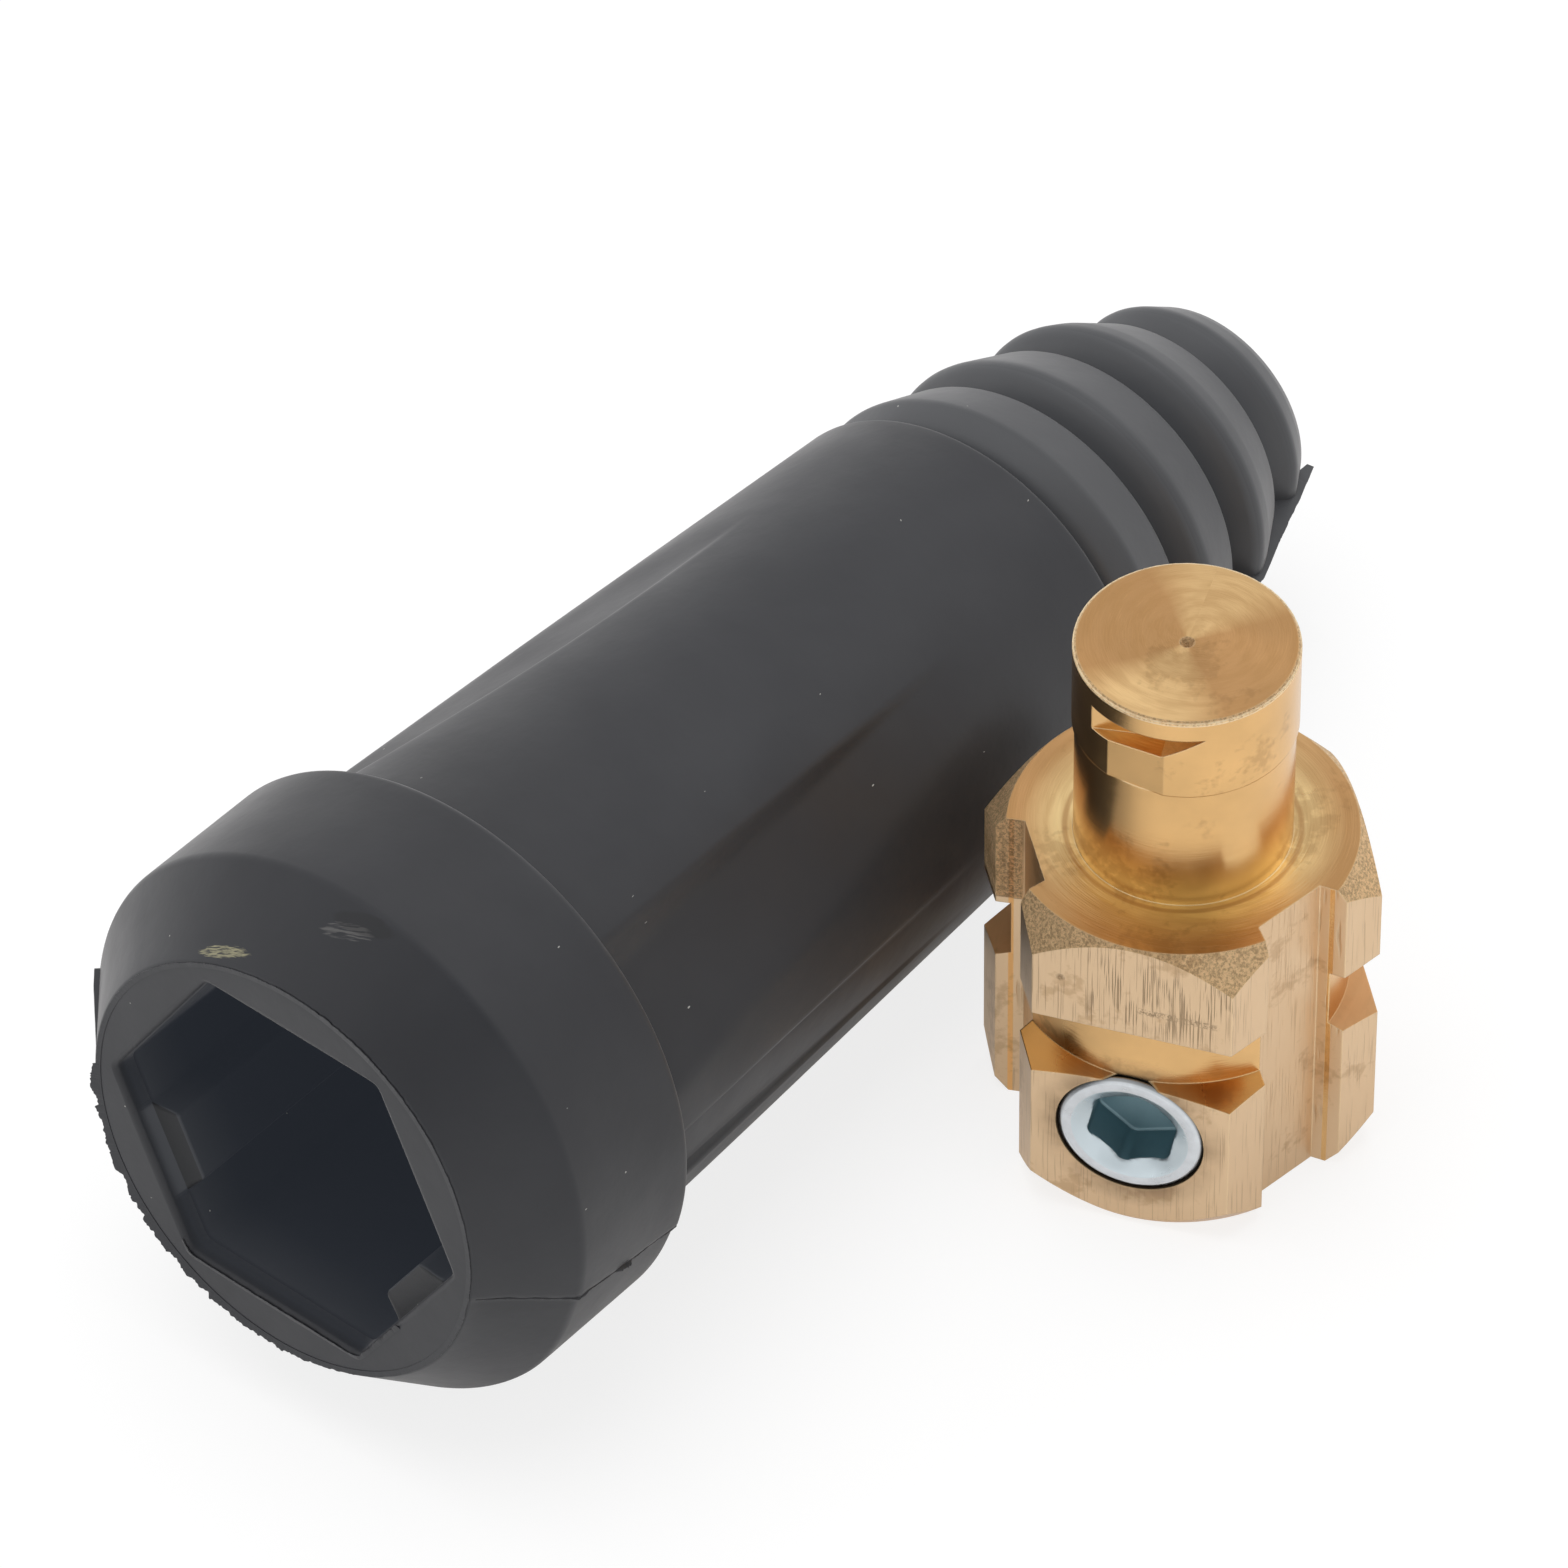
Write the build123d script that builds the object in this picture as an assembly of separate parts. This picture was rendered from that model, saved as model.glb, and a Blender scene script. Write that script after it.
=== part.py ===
from build123d import *
import os
from math import atan2, cos, degrees, radians, sin, sqrt, tan

# A cable plug for a welding lead, with its rubber sleeve drawn off the brass contact insert.
# Millimetres, +Z up, floor at z = 0. The sleeve lies along X with its mouth at -X, the insert
# stands on its cable end beside it, and the origin is under the middle of the whole group.

# Rubber sleeve: collar and front face
face_r = 13.75            # outer edge of the flat front face
bevel_length = 5.0        # axial length of the bevel behind the front face
collar_r = 17.72
collar_length = 14.61     # front face to the rear shoulder
shoulder_edge = 0.5       # broken edge of the shoulder

# Rubber sleeve: tapered body with its finger grips
body_front_r = 15.7       # at the shoulder
body_rear_r = 13.51
body_length = 48.12
body_edge = 0.25          # broken rear edge
grip_length = 35.0        # how far each grip runs back from the shoulder before it fades out
grip_rim_angle = 33.0     # from the middle of the lettering land to the upper edge of a grip
land_widening = 18.0      # the same edge at the shoulder is this much further round on one side
grip_wall_angle = 75.0    # facing of the grip's short wall, from the same middle
grip_floor_angle = 46.0   # facing of the grip's long floor
grip_wall_height = 2.2    # width of the short wall at the shoulder
grip_turn = 6.5           # roll of the lettering land from straight up
mould_groove_width = 4.2  # shallow groove over the mould line on either side
mould_groove_depth = 0.5  # at the shoulder
mould_groove_length = 32.0

# Rubber sleeve: ringed tail
ring_pitch = 6.89
ring_gap = 1.3            # step between the body's rear edge and the first ring
ring_1_r = 12.78          # crest of each ring, the largest next to the body
ring_2_r = 11.78
ring_3_r = 9.92
ring_4_r = 8.48
ring_height = 1.9         # crest above the groove beside it
ring_steps = 5            # cones that make up the round of each ring
last_ring_length = 3.2

# Rubber sleeve: inside
socket_depth = 40.0
hex_turn = 2.1            # roll of the socket from two corners level
throat_length = 6.0       # cone from the socket down to the cable room
cable_room_r = 8.0
tail_cone_length = 12.4   # cone from the cable room down to the hole through the tail
tail_hole_r = 5.2
tail_hole_length = 13.4
key_setback = 1.5         # the keys start this far behind the mouth

# Brass insert
stock_flats = 20.6        # across the flats of the hexagonal bar
insert_height = 22.86     # base to collar face
collar_face_r = 10.18
base_face_r = 9.95
chamfer_slope = 52.0      # both end chamfers, from the level
upper_land = 7.0          # hexagonal length above the groove
groove_r = 9.85
groove_width = 4.1        # straight part of the groove's floor
lower_cone_slope = 20.0
keyway_floor = 8.75       # keyway floor from the axis
keyway_width = 4.86       # at the floor
keyway_flare = 24.0       # each keyway wall leans out by this
keyway_count = 3
cable_bore_r = 5.4
cable_bore_depth = 17.5
drill_point = 59.0        # half angle of the drilled end

# Contact pin, one piece with the insert
pin_r = 6.33
pin_head_r = 6.5
pin_height = 14.86
pin_head_height = 5.9     # the slightly larger zone at the top
pin_edge = 0.2
cam_rim = 1.45            # solid rim above the cam notch
cam_drop = 3.35           # lowest point of the notch, from the top
cam_mid_drop = 2.9
cam_depth = 1.7           # notch floor below the pin's surface
cam_ramp = 2.5            # the steep end of the ramp, along the flat
cam_turn = 3.0            # middle of the notch from the screw's side
pin_flat_depth = 0.25     # shallow flat under the notch
centre_drill_r = 0.45

# Clamp screw, a socket set screw in the insert's front flat
screw_r = 4.40
screw_tip_gap = 0.1       # tip short of the cable bore when the head is flush
screw_height = 7.4        # axis above the insert's base
screw_lead = 0.55
key_flats = 5.0           # hexagon key across flats
key_turn = 19.5           # roll of its socket
key_depth = 3.0
key_mouth = 0.25
tip_hollow_r = 2.4
tip_hollow = 0.5

# Fits
screw_clearance = 0.05
socket_clearance = 0.38   # insert flats to socket walls, each side
key_clearance = 0.25      # sleeve key in the insert's keyway

# Where the insert stands
insert_station = 49.31    # from the mouth, along the sleeve
stand_gap = 1.0           # from its nearest corner to the sleeve's side
insert_turn = -159.7      # plan direction of the screw's flat

corner_r = stock_flats / sqrt(3)
socket_flats = stock_flats + 2 * socket_clearance
body_end = collar_length + body_length
rings_start = body_end + ring_gap
ring_crests = (ring_1_r, ring_2_r, ring_3_r, ring_4_r)
sleeve_length = rings_start + (len(ring_crests) - 1) * ring_pitch + last_ring_length
screw_length = stock_flats / 2 - cable_bore_r - screw_tip_gap


def body_radius(s):
    return body_front_r + (body_rear_r - body_front_r) * (s - collar_length) / body_length


def ring_profile():
    # each ring's round as points along an arc, from groove to groove
    points = []
    start, low = rings_start, ring_1_r - ring_height
    for k, crest in enumerate(ring_crests):
        last = k == len(ring_crests) - 1
        length = last_ring_length if last else ring_pitch
        end_low = crest - ring_height / 2 if last else ring_crests[k + 1] - ring_height
        arc = ThreePointArc((start, low), (start + length / 2, crest), (start + length, end_low))
        points += [arc @ (i / ring_steps) for i in range(ring_steps)]
        start, low = start + length, end_low
    return points + [arc @ 1]


def sleeve_outside():
    rings = ring_profile()
    with BuildPart() as skin:
        with BuildSketch(Plane.XZ):
            with BuildLine():
                Polyline((0, 0), (0, face_r), (bevel_length, collar_r),
                         (collar_length - shoulder_edge, collar_r),
                         (collar_length, collar_r - shoulder_edge), (collar_length, body_front_r),
                         (body_end - body_edge, body_radius(body_end - body_edge)),
                         (body_end, body_rear_r - body_edge), (body_end, ring_1_r - ring_height),
                         *rings, (sleeve_length, 0), close=True)
            make_face()
        revolve(axis=Axis.X)
    return skin.part


def section(s, points):
    # closed outline across the sleeve, given as (sideways, up)
    place = Plane(origin=(s, 0, 0), x_dir=(0, 1, 0), z_dir=(1, 0, 0))
    return place * make_face(Polyline(*points, close=True).edges())


def grip_outline(s, wall, widening=0.0):
    # the grip's short wall, its long floor, and a corner clear of the body
    r, clear = body_radius(s), body_front_r + 3
    left = wall / grip_wall_height
    rim, facing = radians(grip_rim_angle + widening * left ** 3), radians(grip_wall_angle)
    floor = radians(grip_rim_angle + (grip_floor_angle - grip_rim_angle) * left ** (1 / 3))
    foot_y = r * sin(rim) + wall * cos(facing)
    foot_z = r * cos(rim) - wall * sin(facing)
    top_y = foot_y - (clear - foot_z) / tan(facing)
    far_z = foot_z - (clear - foot_y) * tan(floor)
    return section(s, [(foot_y, foot_z), (top_y, clear), (clear, clear), (clear, far_z)])


def groove_outline(s, depth):
    face, clear, half = body_radius(s) - depth, body_front_r + 3, mould_groove_width / 2
    return section(s, [(face, -half), (clear, -half), (clear, half), (face, half)])


def fading_cutter(outline, depth, length, steps=1):
    # full depth at the shoulder, running out to nothing over the given length
    fades = [k / steps for k in range(steps + 1)]
    return loft([outline(collar_length + length * t, depth * (1 - t)) for t in fades], ruled=True)


def grip_cutters():
    # four grips beside the two lettering lands, and a groove over the mould line on either side
    grip = fading_cutter(grip_outline, grip_wall_height, grip_length, 3)
    wide_grip = fading_cutter(lambda s, wall: grip_outline(s, wall, land_widening),
                              grip_wall_height, grip_length, 3)
    groove = fading_cutter(groove_outline, mould_groove_depth, mould_groove_length)
    top = [wide_grip, grip.mirror(Plane.XZ)]
    pieces = top + [g.mirror(Plane.XY) for g in top] + [groove, groove.mirror(Plane.XZ)]
    return [Rot(grip_turn, 0, 0) * p for p in pieces]


def sleeve_inside():
    # hexagonal socket, then a room for the clamped lead, then the hole by which the lead leaves
    hole_start = sleeve_length - tail_hole_length
    with BuildPart() as hollow:
        with BuildSketch(Plane.YZ):
            RegularPolygon(socket_flats / 2, 6, major_radius=False, rotation=hex_turn)
        extrude(amount=socket_depth)
        with BuildSketch(Plane.XZ):
            with BuildLine():
                Polyline((socket_depth, 0), (socket_depth, socket_flats / 2),
                         (socket_depth + throat_length, cable_room_r),
                         (hole_start - tail_cone_length, cable_room_r), (hole_start, tail_hole_r),
                         (sleeve_length, tail_hole_r), (sleeve_length, 0), close=True)
            make_face()
        revolve(axis=Axis.X)
    return hollow.part


def sleeve_keys():
    # tapered keys that slide in the insert's keyways
    tip = keyway_floor + key_clearance
    root = socket_flats / 2 + 0.5
    half_tip = keyway_width / 2 - key_clearance
    half_root = half_tip + (root - tip) * tan(radians(keyway_flare))
    outline = section(key_setback, [(tip, -half_tip), (root, -half_root), (root, half_root), (tip, half_tip)])
    key = extrude(outline, amount=socket_depth - key_setback)
    return [Rot(hex_turn + 90 + k * 360 / keyway_count, 0, 0) * key for k in range(keyway_count)]


def rubber_sleeve():
    return sleeve_outside() - grip_cutters() - sleeve_inside() + sleeve_keys()


def insert_body():
    # hexagonal bar turned to a cone at each end, with a round groove between its two lands
    rise = tan(radians(chamfer_slope))
    cone = tan(radians(lower_cone_slope))
    out = corner_r + 1
    groove_top = insert_height - upper_land
    groove_floor = groove_top - groove_width
    with BuildPart() as bar:
        with BuildSketch():
            RegularPolygon(stock_flats / 2, 6, major_radius=False, rotation=30)
        extrude(amount=insert_height)
        with BuildSketch(Plane.XZ):
            with BuildLine():
                Polyline((0, 0), (base_face_r, 0), (out, (out - base_face_r) * rise),
                         (out, groove_floor - (out - groove_r) * cone), (groove_r, groove_floor),
                         (groove_r, groove_top), (out, groove_top),
                         (out, insert_height - (out - collar_face_r) * rise),
                         (collar_face_r, insert_height), (0, insert_height), close=True)
            make_face()
        revolve(axis=Axis.Z, mode=Mode.INTERSECT)
    return bar.part


def keyway_cutters():
    reach = corner_r + 1
    half_floor = keyway_width / 2
    half_mouth = half_floor + (reach - keyway_floor) * tan(radians(keyway_flare))
    outline = make_face(Polyline((keyway_floor, -half_floor), (reach, -half_mouth),
                                 (reach, half_mouth), (keyway_floor, half_floor), close=True).edges())
    cut = extrude(outline, amount=insert_height)
    return [Rot(0, 0, 60 + k * 360 / keyway_count) * cut for k in range(keyway_count)]


def cable_bore():
    point = cable_bore_r / tan(radians(drill_point))
    with BuildPart() as bore:
        with BuildSketch(Plane.XZ):
            with BuildLine():
                Polyline((0, 0), (cable_bore_r, 0), (cable_bore_r, cable_bore_depth - point),
                         (0, cable_bore_depth), close=True)
            make_face()
        revolve(axis=Axis.Z)
    return bore.part


def contact_pin():
    # the upper zone is a little larger, with a broken edge and a centre-drill mark
    top = insert_height + pin_height
    step = top - pin_head_height
    with BuildPart() as pin:
        with BuildSketch(Plane.XZ):
            with BuildLine():
                Polyline((0, insert_height), (pin_r, insert_height), (pin_r, step), (pin_head_r, step),
                         (pin_head_r, top - pin_edge), (pin_head_r - pin_edge, top),
                         (centre_drill_r, top), (0, top - centre_drill_r), close=True)
            make_face()
        revolve(axis=Axis.Z)
    return pin.part


def cam_cutters():
    # a pocket with a ramped floor that closes to one side, and a shallow flat below it
    top = insert_height + pin_height
    notch = section(pin_head_r - cam_depth,
                    [(-pin_head_r, top - cam_rim), (cam_ramp, top - cam_rim), (0, top - cam_mid_drop),
                     (-pin_head_r, top - cam_drop)])
    flat = section(pin_head_r - pin_flat_depth,
                   [(-pin_head_r, top - pin_head_height), (pin_head_r, top - pin_head_height),
                    (pin_head_r, top - cam_rim), (-pin_head_r, top - cam_rim)])
    notch, flat = extrude(notch, amount=pin_head_r), extrude(flat, amount=pin_head_r)
    return [Rot(0, 0, cam_turn) * notch, Rot(0, 0, cam_turn - 14) * flat]


def contact_insert():
    # the screw's flat faces +X here, and the whole piece is turned when it is placed
    hole = Pos(0, 0, screw_height) * Rot(0, 90, 0) * Cylinder(
        screw_r + screw_clearance, corner_r, align=(Align.CENTER, Align.CENTER, Align.MIN))
    solid = insert_body() - keyway_cutters() - cable_bore() - hole
    return solid + (contact_pin() - cam_cutters())


def clamp_screw():
    # headless screw along +X, its socket end flush with the flat at x = 0
    with BuildPart() as screw:
        with BuildSketch(Plane.XZ):
            with BuildLine():
                Polyline((0, 0), (0, screw_r - screw_lead), (-screw_lead, screw_r),
                         (screw_lead - screw_length, screw_r), (-screw_length, screw_r - screw_lead),
                         (-screw_length, tip_hollow_r), (tip_hollow - screw_length, 0), close=True)
            make_face()
        revolve(axis=Axis.X)
        with BuildSketch(Plane.YZ):
            RegularPolygon(key_flats / 2, 6, major_radius=False, rotation=key_turn)
        extrude(amount=-key_depth, mode=Mode.SUBTRACT)
        with BuildSketch(Plane.YZ):
            Circle(key_flats / sqrt(3) + 0.05)
        with BuildSketch(Plane.YZ.offset(-key_mouth)):
            Circle(key_flats / 2)
        loft(mode=Mode.SUBTRACT)
    return screw.part


def resting_tilt():
    # the sleeve rests on its collar and on whichever touches first behind it
    rear = [(body_end - body_edge, body_radius(body_end - body_edge))]
    rear += [(p.X, p.Y) for p in ring_profile()]
    return min(atan2(collar_r - r, s - rest_station) for s, r in rear)


rest_station = collar_length - shoulder_edge
tilt = resting_tilt()
lift = rest_station * sin(tilt) + collar_r * cos(tilt)
on_floor = Pos(0, 0, lift) * Rot(0, degrees(tilt), 0)
near_corner = radians(insert_turn + 270)
beside = (body_radius(insert_station + corner_r * cos(near_corner)) + stand_gap
          + corner_r * sin(near_corner))
standing = Pos(insert_station, -beside, 0) * Rot(0, 0, insert_turn)

nodes = {
    "rubber_sleeve": on_floor * rubber_sleeve(),
    "contact_insert": standing * contact_insert(),
    "clamp_screw": standing * Pos(stock_flats / 2, 0, screw_height) * clamp_screw(),
}
box = Compound(list(nodes.values())).bounding_box()
centre = Pos(-box.center().X, -box.center().Y, -box.min.Z)

os.makedirs("parts", exist_ok=True)
for name, solid in nodes.items():
    placed = centre * solid
    export_step(placed, f"parts/{name}.step")
    print(name, len(placed.solids()), round(placed.volume, 1))
shift = centre.position
print("tilt", round(degrees(tilt), 3), "lift", round(lift, 3), "beside", round(beside, 3))
print("shift", [round(v, 4) for v in (shift.X, shift.Y, shift.Z)], "length", round(sleeve_length, 2))
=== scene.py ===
# %% [markdown]
# # A cable plug for a welding lead
# The part is a brass contact insert standing beside the rubber sleeve that it slides into.
# Its solids are already made and packed, so this lesson loads them as a fixed frame and adds
# what plain solids leave out: soft moulded edges, flash, tool marks, thread, light and a camera.

# %% Load the frame
from functools import reduce
from math import acos, cos, pi, radians, sin, sqrt, tan

import bpy
import bmesh
import numpy as np
from mathutils import Matrix, Vector, noise


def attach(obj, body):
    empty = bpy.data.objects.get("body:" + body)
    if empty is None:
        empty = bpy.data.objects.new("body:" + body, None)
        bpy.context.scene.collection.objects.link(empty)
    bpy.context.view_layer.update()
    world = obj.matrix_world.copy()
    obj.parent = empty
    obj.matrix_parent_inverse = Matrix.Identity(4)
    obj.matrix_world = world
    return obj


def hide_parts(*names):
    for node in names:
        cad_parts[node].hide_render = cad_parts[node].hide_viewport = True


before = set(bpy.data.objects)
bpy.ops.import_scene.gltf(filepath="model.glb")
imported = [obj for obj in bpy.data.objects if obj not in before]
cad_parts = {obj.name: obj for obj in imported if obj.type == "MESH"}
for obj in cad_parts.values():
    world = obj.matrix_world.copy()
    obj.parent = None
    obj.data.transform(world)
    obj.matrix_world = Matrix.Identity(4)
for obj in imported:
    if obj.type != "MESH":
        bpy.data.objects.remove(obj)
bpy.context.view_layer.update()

mm = 0.001

# %% [markdown]
# ## Camera
# One camera was fitted to both pieces at once. It looks down at about 46 degrees through a long
# lens, so the near and far ends of the sleeve keep nearly one scale. Its right and up directions
# are written as vectors, and the third column of the matrix points back out of the picture.

# %% Camera
camera_at = Vector((-358.932, -277.195, 483.678)) * mm
camera_right = Vector((0.61414, -0.78914, -0.01001))
camera_up = Vector((0.56801, 0.43317, 0.69981))
focal_px, image_px = 11204.27, 1568

lens = bpy.data.cameras.new("camera")
lens.sensor_width = 36
lens.lens = focal_px / image_px * lens.sensor_width
lens.clip_start, lens.clip_end = 0.05, 20
camera = bpy.data.objects.new("camera", lens)
bpy.context.scene.collection.objects.link(camera)
axes = Matrix((camera_right, camera_up, camera_right.cross(camera_up))).transposed()
camera.matrix_world = Matrix.Translation(camera_at) @ axes.to_4x4()
bpy.context.scene.camera = camera
bpy.context.scene.view_settings.view_transform = "Standard"
print("lens", round(lens.lens, 1), "mm")

# %% [markdown]
# ## Where the pieces lie
# The sleeve lies on the floor with its mouth toward -X, tipped a few degrees because it rests on
# its collar and on the rear of its body. The helper takes a place given in the sleeve's own
# terms, how far from the mouth, how far out from the axis and at which turn, to the frame.
# A turn is in degrees from +Y over the top.

# %% Places on the sleeve
sleeve_tilt = radians(4.961)
mouth = Vector((-43.5164, 9.949, 18.874))
along = Vector((cos(sleeve_tilt), 0, -sin(sleeve_tilt)))
upward = Vector((sin(sleeve_tilt), 0, cos(sleeve_tilt)))
aside = Vector((0, 1, 0))

def out_of_sleeve(turn):
    return aside * cos(radians(turn)) + upward * sin(radians(turn))

def round_the_sleeve(turn):
    return upward * cos(radians(turn)) - aside * sin(radians(turn))

def on_sleeve(s, r, turn):
    """A point of the frame in metres."""
    return (mouth + along * s + out_of_sleeve(turn) * r) * mm

insert_foot = Vector((5.794, -16.514, 0))
insert_turn = radians(-159.7)
print("mouth", [round(v, 2) for v in on_sleeve(0, 0, 0) / mm])

# %% [markdown]
# ## The sleeve's outside
# The sleeve is one moulding of black rubber. Seen end on it isn't round: four grips are cut
# beside two lands, and a shallow groove runs over the mould line on either side. A shape that
# follows such a rule is best made as one skin, a radius for every station and turn, because
# then each edge can be as soft as rubber is. All sizes here are in millimetres.

# %% Sizes of the sleeve
face_r, bevel_length, collar_r, collar_length = 13.75, 5.0, 17.72, 14.61
body_front_r, body_rear_r, body_length, tail_length = 15.7, 13.51, 48.12, 25.17
grip_length, grip_wall_height = 35.0, 2.2
grip_rim, grip_wall, grip_floor = radians(33), radians(75), radians(46)
land_widening, grip_turn = radians(18), 6.5
mould_groove_width, mould_groove_depth, mould_groove_length = 4.2, 0.5, 32.0
body_end = collar_length + body_length
sleeve_length = body_end + tail_length

def collar_radius(s):
    """The outside of the bevel and the collar at a distance from the mouth."""
    return min(collar_r, face_r + (collar_r - face_r) * s / bevel_length)

def body_radius(s):
    return body_front_r + (body_rear_r - body_front_r) * (s - collar_length) / body_length

def smooth_step(t):
    t = np.clip(t, 0, 1)
    return t * t * (3 - 2 * t)

def soft_min(a, b, k):
    h = np.clip(0.5 + 0.5 * (b - a) / k, 0, 1)
    return b + (a - b) * h - k * h * (1 - h)

def soft_max(a, b, k):
    return -soft_min(-a, -b, k)

# %% [markdown]
# The profile is a list of stations and radii from the mouth to the tail. Each corner of it is
# rounded by replacing it with a short arc of points, which is what a mould with worn edges
# leaves. The four rings of the tail lean: each rises steeply to its crest, falls slowly toward
# the tail, and ends in a step down to the narrow neck before the next.

# %% Profile from mouth to tail
def rounded(corners, radius_of, steps=4):
    """Corner points with each one replaced by a small arc tangent to both of its sides."""
    out = [corners[0]]
    for (a, b, c), r in zip(zip(corners, corners[1:], corners[2:]), radius_of):
        a, b, c = (np.array(p, float) for p in (a, b, c))
        u, v = (a - b) / np.linalg.norm(a - b), (c - b) / np.linalg.norm(c - b)
        half = acos(np.clip(u @ v, -1, 1)) / 2
        run = min(r / tan(half), 0.45 * np.linalg.norm(a - b), 0.45 * np.linalg.norm(c - b))
        p, q = b + u * run, b + v * run
        for k in range(steps + 1):
            t = k / steps
            out.append(tuple((1 - t) ** 2 * p + 2 * t * (1 - t) * b + t * t * q))
    return out + [corners[-1]]

def stations_between(a, b, step):
    n = max(1, int(round((b - a) / step)))
    return [a + (b - a) * k / n for k in range(n + 1)]

def denser(points, step=0.7):
    """The same outline with extra points along its straight parts."""
    out = [points[0]]
    for a, b in zip(points, points[1:]):
        n = max(1, int(sqrt((b[0] - a[0]) ** 2 + (b[1] - a[1]) ** 2) / step))
        out += [tuple(a[i] + (b[i] - a[i]) * k / n for i in (0, 1)) for k in range(1, n + 1)]
    return out

collar = denser(rounded([(0, face_r - 0.8), (0, face_r), (bevel_length, collar_r), (collar_length, collar_r),
                         (collar_length, body_front_r - 3)], (0.35, 1.0, 0.55), 6)[:-1])
foot = [(collar_length, collar_r - 1.1), (collar_length, body_front_r + 0.2)]
body = [(s, body_radius(s)) for s in stations_between(collar_length + 0.02, body_end - 0.9, 1.0)]
rear = rounded([body[-1], (body_end, body_rear_r), (body_end, 11.2)], (0.35,), 5)[1:-1]
# each corner is (station, radius) and how round it is: neck, crest and shoulder of each ring
ring_corners = (((62.88, 11.2), 0), ((63.15, 11.2), 0.8), ((64.1, 12.45), 1.5), ((65.7, 13.16), 1.0),
                ((69.4, 12.02), 0.6), ((70.25, 10.3), 0.2), ((70.5, 10.3), 0.8), ((71.9, 12.32), 1.0),
                ((76.1, 10.76), 0.6), ((77.05, 8.9), 0.2), ((77.3, 8.9), 0.8), ((78.8, 10.98), 1.0),
                ((80.3, 10.36), 2.5), ((83.1, 8.78), 0.5), ((83.95, 7.2), 0.2), ((84.2, 7.2), 0.8),
                ((85.8, 8.5), 0.9), ((sleeve_length, 7.3), 0))
rings = rounded([corner for corner, _ in ring_corners], [r for _, r in ring_corners[1:-1]], 5)
profile = collar + foot + body + rear + denser(rings, 0.5)
print("profile rows", len(profile), "sleeve length", round(sleeve_length, 2))

# %% [markdown]
# The cuts are given as straight walls and floors seen end on. The grip removes what lies beyond
# both its short wall and its long floor, so what is left is the larger of the two distances,
# never more than the body. The soft versions of smaller and larger round the rims.

# %% Grips and grooves
turns = 400                 # points round each row of the skin
turn_of = np.arange(turns) * 360 / turns

def grip_reach(s, from_land, wide):
    """How far out the rubber reaches at an angle from the middle of a land, in radians."""
    r = body_radius(s)
    left = np.clip(1 - (s - collar_length) / grip_length, 0, 1)
    rim, wall = grip_rim + wide * land_widening * left ** 3, grip_wall_height * left
    lean = grip_rim + (grip_floor - grip_rim) * left ** (1 / 3)
    foot_y = r * np.sin(rim) + wall * cos(grip_wall)
    foot_z = r * np.cos(rim) - wall * sin(grip_wall)
    floor = foot_y * sin(lean) + foot_z * cos(lean)
    near_wall = r * np.cos(grip_wall - rim) / np.maximum(np.cos(from_land - grip_wall), 0.05)
    near_floor = floor / np.maximum(np.cos(from_land - lean), 0.05)
    reach = soft_max(near_wall, near_floor, 0.3)
    fade = smooth_step((collar_length + grip_length + 1.5 - s) / 5.0)
    reach = r + (soft_min(reach, np.full_like(reach, r), 0.22) - r) * fade
    return np.where((from_land > radians(12)) & (from_land < radians(89)), np.minimum(reach, r), r)

def groove_cut(s, aside_mm):
    depth = mould_groove_depth * np.clip(1 - (s - collar_length) / mould_groove_length, 0, 1)
    edge = (mould_groove_width / 2 + 0.15 - np.abs(aside_mm)) / 0.3
    return depth * smooth_step(edge)

def mould_line(s):
    """The turn at which the two halves of the mould met on the collar, which wavers a little."""
    return 186.5 + 7.0 * s / collar_length + 0.5 * noise.noise((s * 0.9, 3.0, 0.0))

def mould_step(s):
    """On the collar the lower half of the mould closed a little short, which leaves a step."""
    past = turn_of - mould_line(s)
    return 0.22 * smooth_step(past / 1.4 + 0.5) * smooth_step((30 - past) / 30) * min(1.0, s / 0.4)

def outside_radius(s, r):
    """The radius at every turn for one row of the profile."""
    if s < collar_length:
        return r - mould_step(s)
    if s > body_end - 0.5:
        return np.full(turns, r)
    land = np.abs((turn_of - 90 - grip_turn + 90) % 180 - 90)
    wide = np.where(np.cos(np.radians(turn_of - grip_turn)) > 0, 1.0, 0.0)
    reach = np.minimum(grip_reach(s, np.radians(land), wide), r)
    from_line = np.radians((turn_of - grip_turn + 90) % 180 - 90)
    return reach - groove_cut(s, reach * np.sin(from_line))

# %% [markdown]
# ## The socket
# Inside is a hexagonal socket with three tapered keys, which stop the insert from turning, and
# behind it a round room for the clamped lead and the hole where the lead leaves. The inner skin
# is made by the same rule as the outer one, and both are joined at the mouth and at the tail.

# %% Inside of the sleeve
socket_flats, hex_turn, socket_depth, throat_length = 21.36, 2.1, 40.0, 6.0
room_r, tail_cone, tail_hole_r, tail_hole_length = 8.0, 12.4, 5.2, 13.4
key_tip, key_half, key_flare, key_setback = 9.0, 2.18, radians(24), 1.5
hole_start = sleeve_length - tail_hole_length

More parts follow.
